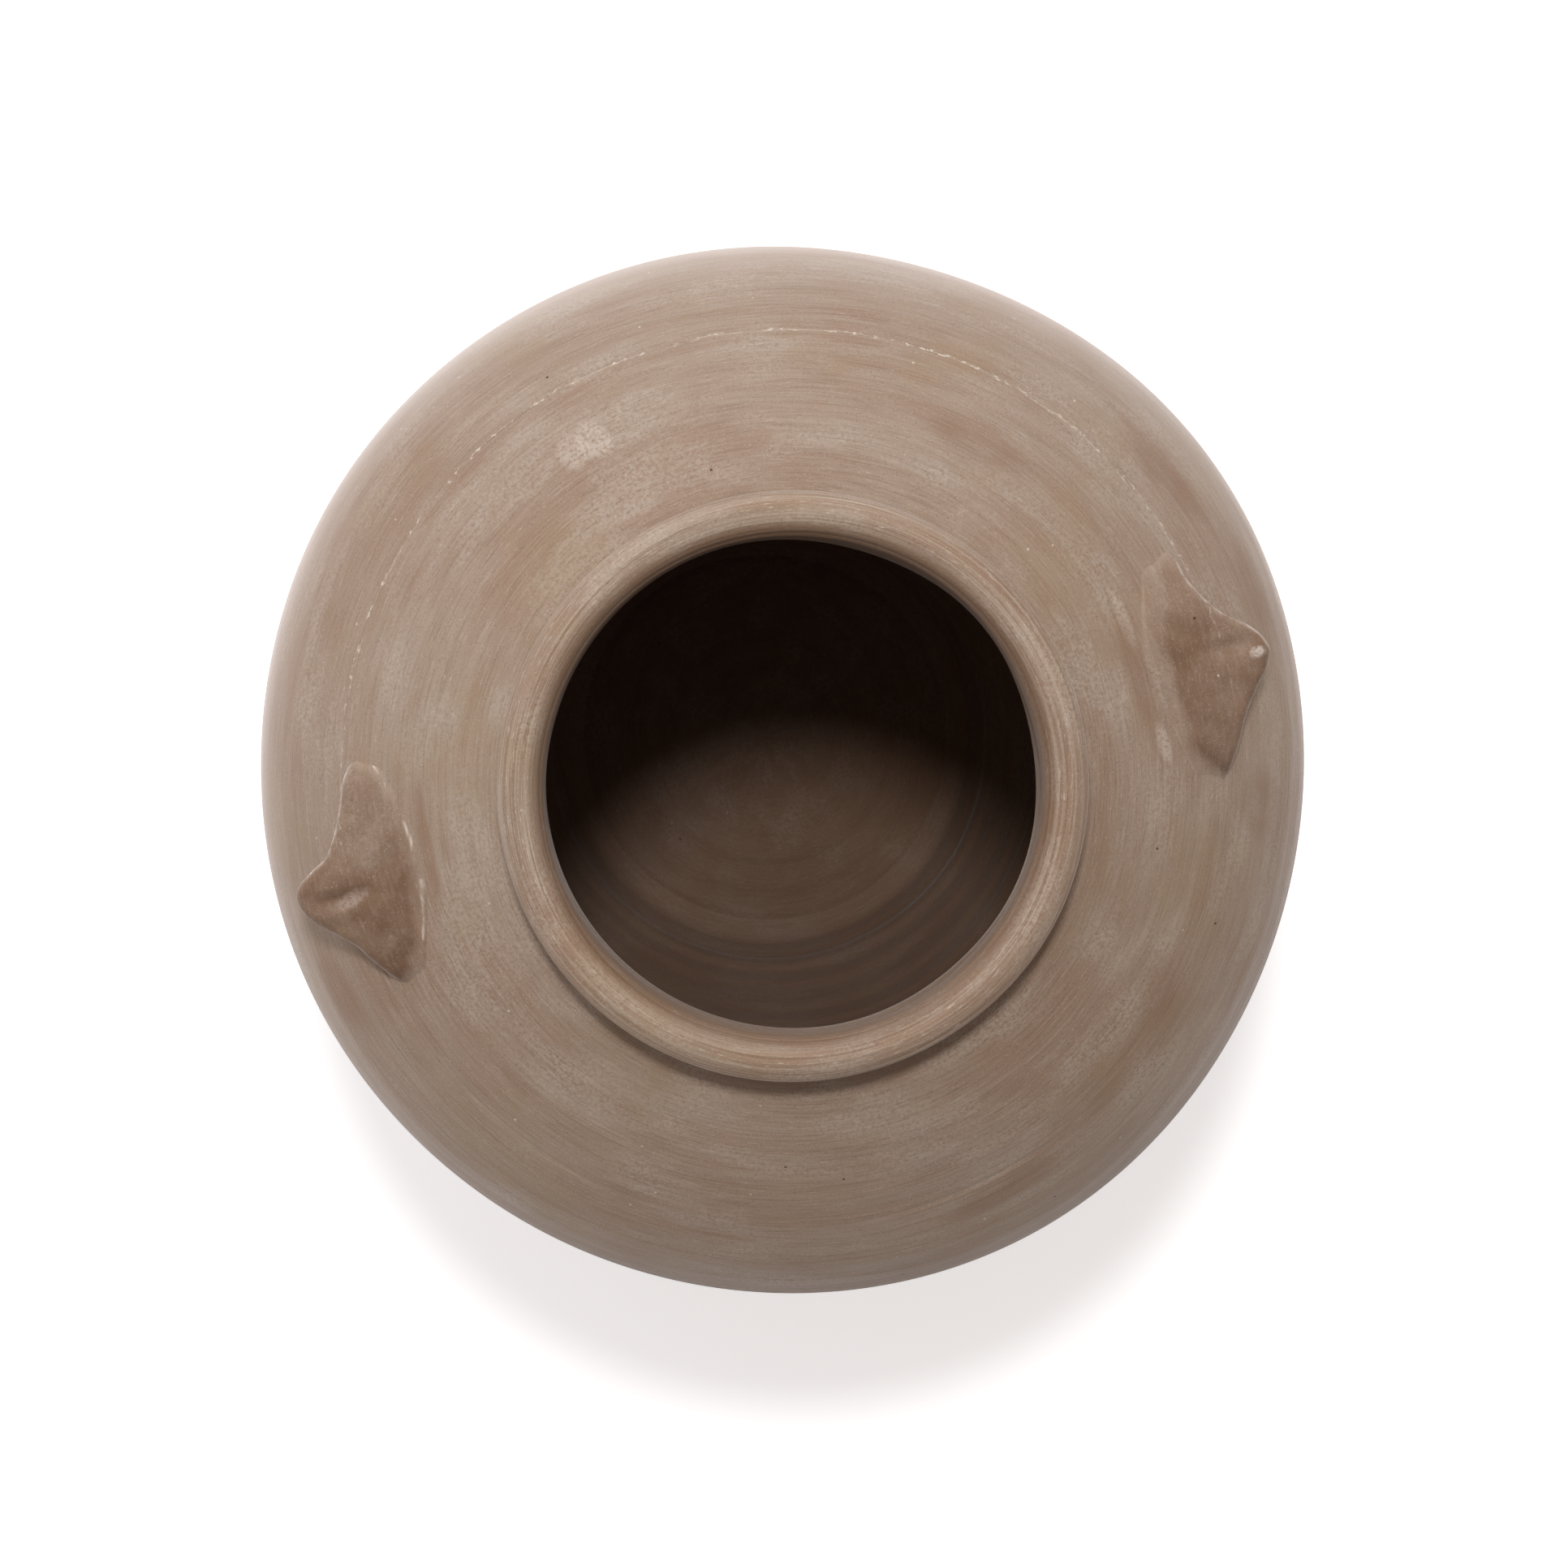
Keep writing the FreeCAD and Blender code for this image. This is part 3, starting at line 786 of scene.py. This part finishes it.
def fired_clay(name, body, warm, bloom, streaks=0.5, bloom_share=0.6, rough=0.85, scuffs=(),
               smears=(), darker_brown=None, lined=1.0, sheen=0.28):
    """Unglazed earthenware, thrown and wiped with a wet rib while it turned; its belly is painted paler
    on one side as painted light and darker on the other as painted shade.

    The eye sees a matt skin: faint bands and short scratches that run round the
    jar, a speckly pale bloom where slip dried on it, and scattered pits and grit.
    """
    material = bpy.data.materials.new(name)
    material.use_nodes = True
    tree = material.node_tree
    shader = tree.nodes["Principled BSDF"]
    sweep = add(tree, "ShaderNodeAttribute", attribute_name="sweep").outputs["Vector"]
    place = add(tree, "ShaderNodeTexCoord").outputs["Object"]
    turned = add(tree, "ShaderNodeSeparateXYZ", [(0, sweep)])
    run = turned.outputs["Z"]
    rise = add(tree, "ShaderNodeSeparateXYZ", [(0, place)]).outputs["Z"]
    to_painted_light_side = add(
        tree, "ShaderNodeVectorMath", [(0, sweep), (1, PAINTED_LIGHT_SIDE)], operation="DOT_PRODUCT"
    ).outputs["Value"]

    grain = {}
    for kind, (cell, detail, roughness) in GRAIN.items():
        grain[kind] = add(
            tree, "ShaderNodeTexNoise", [("Vector", place)], Scale=1.0 / (cell * MM),
            Detail=detail, Roughness=roughness,
        ).outputs["Fac"]
    broad = banded(tree, sweep, 150.0, 8.0, 3.0)
    fine = banded(tree, sweep, 22.0 * lined**2, 0.7 / min(lined, 1.0), 3.0, 3.1)
    short = banded(tree, sweep, 7.0, 0.5, 2.0, 7.7)
    patches = banded(tree, sweep, 50.0, 17.0, 5.0, 5.3)
    crumbly = banded(tree, sweep, 2.4, 1.3, 3.0, 2.2)

    # distance from the shoulder's joint, along a line that wanders a little
    wander = add(
        tree, "ShaderNodeMath",
        [(0, banded(tree, sweep, 14.0, 400.0, 3.0, 9.9)), (1, 3.4 * MM), (2, -1.7 * MM)],
        operation="MULTIPLY_ADD",
    )
    offset = add(
        tree, "ShaderNodeMath", [(0, run), (1, MARK["upper_out"] * MM)], operation="SUBTRACT"
    )
    offset = add(
        tree, "ShaderNodeMath", [(0, offset.outputs[0]), (1, wander.outputs[0])], operation="ADD"
    )
    offset = add(tree, "ShaderNodeMath", [(0, offset.outputs[0])], operation="ABSOLUTE").outputs[0]
    far_side = (turned.outputs["Y"], -0.2, 0.6, 0.0, 1.0)
    crumbs = showing(tree, [
        (offset, 1.1 * MM, 0.4 * MM, 0.0, 1.0), (crumbly, 0.54, 0.66, 0.0, 0.70), far_side,
    ])
    pits = scattered(tree, place, 15.0, 1.1, 0.30, 0.85)
    flecks = scattered(tree, place, 11.0, 1.0, 0.45, 0.45)
    belly = [(rise, 0.352, 0.285, 0.0, 1.0)] * 2 + [(rise, -0.05, 0.30, 0.0, 1.0)]

    # every coat from the bare clay outwards: where it shows, and its colour
    coats = [
        ([(broad, 0.34, 0.68, 0.0, streaks)], warm),
        ([(grain["wide"], 0.42, 0.66, 0.0, 0.5)], warm),
        ([(patches, 0.42, 0.66, 0.0, 1.0), (grain["speckle"], 0.30, 0.64, 0.0, bloom_share)], bloom),
    ]
    if darker_brown:
        highlight_and_cracks = add(tree, "ShaderNodeAttribute", attribute_name="highlight_and_cracks")
        highlight_and_cracks = add(tree, "ShaderNodeSeparateXYZ", [(0, highlight_and_cracks.outputs["Vector"])])
        plate_darkening = [(highlight_and_cracks.outputs["Z"], *WHOLE), (grain["kneaded"], 0.28, 0.62, 0.45, 1.0)]
        coats.append((plate_darkening, darker_brown))
    coats += [
        ([(fine, 0.48, 0.74, 0.0, 0.27 * lined)], bloom),
        ([(fine, 0.52, 0.26, 0.0, 0.27 * lined)], "#65503f"),
        ([(short, 0.58, 0.80, 0.0, 0.27 * lined)], "#c8bcae"),
        ([(grain["grit"], 0.58, 0.80, 0.0, 0.38)], "#5a4638"),
        ([(grain["grit"], 0.40, 0.22, 0.0, 0.22)], "#c8bcae"),
        ([(grain["ochre"], 0.50, 0.68, 0.0, 0.24)], "#8c7656"),
    ]
    for angle, radius, height, sizes, turn, strength in scuffs:
        mark = spot(tree, place, angle, radius, height, sizes, turn)
        broken = [(mark, 0.0, 0.5, 0.0, 1.0), (grain["speckle"], 0.28, 0.55, 0.0, strength)]
        coats.append((broken, "#d2c7bb"))
    coats += [
        ([(pits, *WHOLE)], "#3d2c22"),
        ([(flecks, *WHOLE)], "#d8ccbe"),
        ([(offset, 0.45 * MM, 0.10 * MM, 0.0, 0.28), far_side, (fine, 0.40, 0.60, 0.0, 1.0)], "#c9bdae"),
        ([(crumbs, *WHOLE)], "#cfc3b5"),
        # painted shade: darker from just inside the rim's crest down the inner slope to the bore
        ([
            (run, (CREST + 1.5) * MM, (CREST + 7.0) * MM, 0.0, 0.60),
            (run, MARK["neck_in"] * MM, MARK["bore_top"] * MM, 0.0, 1.0),
        ], "#6d523d"),
        # painted light: the belly is painted paler towards the bright far side
        ([(to_painted_light_side, -0.55, 0.80, 0.0, 0.55)] + belly, "#d9cdc4"),
        # painted shade: the belly is painted darker, in clouds, on the near side
        ([(to_painted_light_side, -0.10, -1.0, 0.0, 0.62), (grain["cloud"], 0.30, 0.62, 0.72, 1.0)] + belly, "#48372b"),
    ]
    for angle, radius, height, sizes, turn, strength in smears:
        mark = spot(tree, place, angle, radius, height, sizes, turn)
        soft = [(mark, 0.0, 0.7, 0.0, 1.0), (grain["ochre"], 0.25, 0.60, 0.0, strength)]
        coats.append((soft, "#7c5e48"))
    # painted shade: the inside is painted darker from the bore down into the jar
    coats.append(([(run, MARK["bore_top"] * MM, MARK["upper_in"] * MM, 0.0, 0.66)], "#5f4332"))
    if darker_brown:
        # painted highlight on the ears' free edges, broken by the chipped grain
        edge_highlight = [(highlight_and_cracks.outputs["X"], *WHOLE), (grain["chipped"], 0.35, 0.65, 0.0, 0.50)]
        seam = banded(tree, sweep, 16.0, 9.0, 3.0, 4.4)
        cracks = [(highlight_and_cracks.outputs["Y"], *WHOLE), (seam, 0.48, 0.58, 0.0, 0.60)]
        coats += [(edge_highlight, "#d9cdc0"), (cracks, "#ddd2c6")]
    colour = body
    for edges, coat in coats:
        colour = add(
            tree, "ShaderNodeMix", [("Factor", showing(tree, edges)), (6, colour), (7, coat)],
            data_type="RGBA", blend_type="MIX",
        ).outputs[2]
    tree.links.new(colour, shader.inputs["Base Color"])

    shader.inputs["Roughness"].default_value = rough
    shader.inputs["IOR"].default_value = 1.45
    shader.inputs["Specular IOR Level"].default_value = 0.25
    shader.inputs["Sheen Weight"].default_value = sheen
    shader.inputs["Sheen Roughness"].default_value = 0.35
    shader.inputs["Sheen Tint"].default_value = linear("#fbf6f4")

    height = fine
    for detail, way in (
        (short, "ADD"), (grain["speckle"], "ADD"), (crumbs, "ADD"), (pits, "SUBTRACT")
    ):
        height = add(tree, "ShaderNodeMath", [(0, height), (1, detail)], operation=way).outputs[0]
    bumped = add(tree, "ShaderNodeBump", [("Height", height)], Strength=0.35, Distance=0.3 * MM)
    tree.links.new(bumped.outputs[0], shader.inputs["Normal"])
    return material


# Scuffs: angle, radius and height of the middle; half sizes along the turning,
# across and up; how far each is turned; how strong it is.
WALL_SCUFFS = [
    (106.0, 137.0, 366.0, (7.0, 10.0, 12.0), 20.0, 0.26),
    (109.5, 137.0, 366.0, (7.0, 9.0, 12.0), 0.0, 0.22),
    (352.0, 130.0, 368.0, (9.0, 3.0, 12.0), 10.0, 0.30),
    (12.0, 128.0, 369.0, (14.0, 3.0, 12.0), -6.0, 0.25),
]
WALL_SMEARS = [
    (343.0, 166.0, 338.0, (17.0, 13.0, 25.0), 10.0, 0.50),
    (25.0, 170.0, 332.0, (30.0, 9.0, 25.0), 0.0, 0.54),
    (3.0, 125.0, 371.0, (32.0, 6.0, 14.0), 0.0, 0.50),
    (8.0, 178.0, 325.0, (30.0, 9.0, 25.0), 0.0, 0.40),
    (202.0, 158.0, 347.0, (14.0, 9.0, 25.0), -20.0, 0.43),
    (192.0, 176.0, 330.0, (24.0, 9.0, 25.0), 0.0, 0.43),
    (176.0, 128.0, 369.0, (30.0, 4.0, 14.0), 0.0, 0.43),
    (48.0, 134.0, 367.0, (34.0, 8.0, 14.0), 0.0, 0.43),
    (316.0, 150.0, 357.0, (22.0, 12.0, 20.0), 25.0, 0.43),
    (285.0, 165.0, 344.0, (38.0, 7.0, 20.0), 0.0, 0.36),
]
EAR_SCUFFS = [
    (1.6, 168.5, 364.0, (2.6, 3.6, 6.0), 0.0, 0.55),
    (181.0, 158.0, 366.0, (3.4, 9.0, 6.0), 14.0, 0.18),
]

# thrown wall, wiped with a wet rib: faint bands, pale bloom, scuffs and darker smears
wall_clay = fired_clay("wiped_earthenware", "#958373", "#886d59", "#a6998b", 0.42, 0.65,
                       scuffs=WALL_SCUFFS, smears=WALL_SMEARS)
# rim coil rolled and smoothed with a wet leather: long unbroken lines, hardly any haze
neck_clay = fired_clay("rolled_rim_earthenware", "#948170", "#886c56", "#b0a394", 0.6, 0.5, 0.80,
                       lined=2.2, sheen=0.12)
# ears pinched by hand: darker brown over the plates, a painted highlight along the free edges, and seam
# cracks
ear_clay = fired_clay("pinched_earthenware", "#968474", "#866c58", "#a79a8c", lined=0.5,
                      scuffs=EAR_SCUFFS, darker_brown="#725845")
# foot trimmed and stood on sand: the driest and roughest skin
foot_clay = fired_clay("bare_foot_earthenware", "#8d7a6a", "#7d614c", "#a09285", 0.5, 0.8, 0.90)

# ------------------------------------------------------------------- pieces

turn_piece(
    "floor_disc", "base_disc",
    on_skin("start", "foot", 2.2)[:-1] + on_skin("foot", "disc_edge", 0.8)
    + across("disc_edge", "floor_rim") + on_skin("floor_rim", "floor", 0.9),
    360, foot_clay, ("disc_edge", "floor_rim"),
)
turn_piece(
    "lower_section", "lower_wall",
    on_skin("disc_edge", "lower_out", 2.2) + across("lower_out", "lower_in", GROOVE)
    + on_skin("lower_in", "corner", 1.8)[:-1] + on_skin("corner", "floor_rim", 1.2)
    + across("floor_rim", "disc_edge"),
    480, wall_clay, ("disc_edge", "lower_out", "lower_in", "floor_rim"),
)
turn_piece(
    "belly_section", "belly_wall",
    on_skin("lower_out", "belly", 2.4)[:-1] + on_skin("belly", "upper_out", 1.3)
    + across("upper_out", "upper_in", GROOVE)
    + on_skin("upper_in", "lower_in", 3.6) + across("lower_in", "lower_out", GROOVE),
    480, wall_clay, ("upper_out", "upper_in", "lower_in", "lower_out"),
)
turn_piece(
    "shoulder_section", "shoulder_wall",
    on_skin("upper_out", "neck_out", 0.8) + across("neck_out", "neck_in", GROOVE)
    + on_skin("neck_in", "upper_in", 3.0) + across("upper_in", "upper_out", GROOVE),
    720, wall_clay, ("upper_out", "neck_out", "neck_in", "upper_in"),
)
turn_piece(
    "collar", "neck_collar",
    on_skin("neck_out", "under_coil", 0.7) + across("under_coil", "lip")
    + on_skin("lip", "neck_in", 0.6) + across("neck_in", "neck_out", GROOVE),
    720, neck_clay, ("neck_out", "under_coil", "lip", "neck_in"),
)
turn_piece(
    "rolled_rim", "rim_coil",
    on_skin("under_coil", "lip", 0.6) + across("lip", "under_coil"),
    720, neck_clay, ("under_coil", "lip"),
)
pinch_ear("right_ear", "ear_right", RIGHT_EAR, ear_clay)
pinch_ear("left_ear", "ear_left", LEFT_EAR, ear_clay)

# ------------------------------------------------- camera, lights and floor

LENS_MM = 108.8
SENSOR_MM = 36.0
CAMERA_TILT = math.radians(3.5)
CAMERA_SIDE = math.radians(104.0)      # which way the camera leans from the axis
PICTURE_TURN = math.radians(-14.0)     # direction of the picture's right-hand side
CAMERA_DISTANCE = 1.608
AIM_HEIGHT = 0.402
AIM_SHIFT = (-0.00344, 0.00124)        # where the camera aims, right and up of the rim's middle

back = Vector(
    (
        math.sin(CAMERA_TILT) * math.cos(CAMERA_SIDE),
        math.sin(CAMERA_TILT) * math.sin(CAMERA_SIDE),
        math.cos(CAMERA_TILT),
    )
)
right = Vector((math.cos(PICTURE_TURN), math.sin(PICTURE_TURN), 0.0))
right = (right - back * right.dot(back)).normalized()
up = back.cross(right)

camera = bpy.data.objects.new("camera", bpy.data.cameras.new("camera"))
bpy.context.scene.collection.objects.link(camera)
camera.data.lens = LENS_MM
camera.data.sensor_width = SENSOR_MM
camera.data.clip_start = 0.05
camera.data.clip_end = 50.0
aim = Vector((0, 0, AIM_HEIGHT)) + right * AIM_SHIFT[0] + up * AIM_SHIFT[1]
camera.matrix_world = Matrix.Translation(aim + back * CAMERA_DISTANCE) @ Matrix(
    (
        (right.x, up.x, back.x, 0),
        (right.y, up.y, back.y, 0),
        (right.z, up.z, back.z, 0),
        (0, 0, 0, 1),
    )
)
bpy.context.scene.camera = camera


def lamp(name, width, watts, tilt, side, distance, colour="#ffffff"):
    """A round softbox that faces the jar: tilt from straight up, side as an angle round the axis."""
    light = bpy.data.lights.new(name, "AREA")
    light.shape = "DISK"
    light.size = width
    light.energy = watts
    light.color = linear(colour)[:3]
    toward = Vector(
        (
            math.sin(math.radians(tilt)) * math.cos(math.radians(side)),
            math.sin(math.radians(tilt)) * math.sin(math.radians(side)),
            math.cos(math.radians(tilt)),
        )
    )
    shown = bpy.data.objects.new(name, light)
    bpy.context.scene.collection.objects.link(shown)
    shown.location = Vector((0, 0, 0.2)) + toward * distance
    shown.rotation_mode = "QUATERNION"
    shown.rotation_quaternion = toward.to_track_quat("Z", "Y")
    return shown


lamp("key_softbox", 0.32, 42.0, 15.0, 84.0, 2.8)

TENT_SIDE = (-0.15, 0.99, 0.0)         # where the tent is brightest
TENT_STRENGTH = 1.7
TABLE_GLOW = 0.42                      # the lit table's own brightness, the same all over


def studio_world():
    """A white tent open on the near side: bright at the far side, dark behind the camera."""
    world = bpy.data.worlds.new("white_studio")
    bpy.context.scene.world = world
    world.use_nodes = True
    tree = world.node_tree
    toward = add(
        tree, "ShaderNodeVectorMath",
        [(0, add(tree, "ShaderNodeTexCoord").outputs["Generated"]), (1, TENT_SIDE)],
        operation="DOT_PRODUCT",
    )
    share = add(
        tree, "ShaderNodeMath", [(0, toward.outputs["Value"]), (1, 0.5), (2, 0.5)],
        operation="MULTIPLY_ADD",
    ).outputs[0]
    level = add(tree, "ShaderNodeMath", [(0, share), (1, 1.5)], operation="POWER").outputs[0]
    level = add(tree, "ShaderNodeMath", [(0, level), (1, TENT_STRENGTH)], operation="MULTIPLY")
    cloth = add(
        tree, "ShaderNodeMix", [("Factor", share), (6, "#ffe3cc"), (7, "#eef4ff")],
        data_type="RGBA", blend_type="MIX",
    )
    background = tree.nodes["Background"]
    tree.links.new(level.outputs[0], background.inputs["Strength"])
    tree.links.new(cloth.outputs[2], background.inputs["Color"])

studio_world()


def pale_floor():
    """A plain white light table under the jar."""
    bm = bmesh.new()
    bmesh.ops.create_grid(bm, x_segments=1, y_segments=1, size=6.0)
    floor = own_mesh("studio_floor", bm)
    material = bpy.data.materials.new("opal_light_table")
    material.use_nodes = True
    tree = material.node_tree
    shader = tree.nodes["Principled BSDF"]
    fibre = add(
        tree, "ShaderNodeTexNoise", [("Vector", add(tree, "ShaderNodeTexCoord").outputs["Object"])],
        Scale=1.0 / (2.0 * MM), Detail=3.0, Roughness=0.6,
    ).outputs["Fac"]
    sheet = add(
        tree, "ShaderNodeMix",
        [("Factor", showing(tree, [(fibre, 0.3, 0.7, 0.0, 0.4)])), (6, "#f7f7f7"), (7, "#f3f3f3")],
        data_type="RGBA", blend_type="MIX",
    )
    tree.links.new(sheet.outputs[2], shader.inputs["Base Color"])
    shader.inputs["Roughness"].default_value = 0.9
    shader.inputs["Emission Strength"].default_value = TABLE_GLOW
    shader.inputs["Emission Color"].default_value = linear("#ffffff")
    floor.data.materials.append(material)


pale_floor()
bpy.context.scene.view_settings.view_transform = "Standard"
bpy.context.scene.view_settings.look = "None"
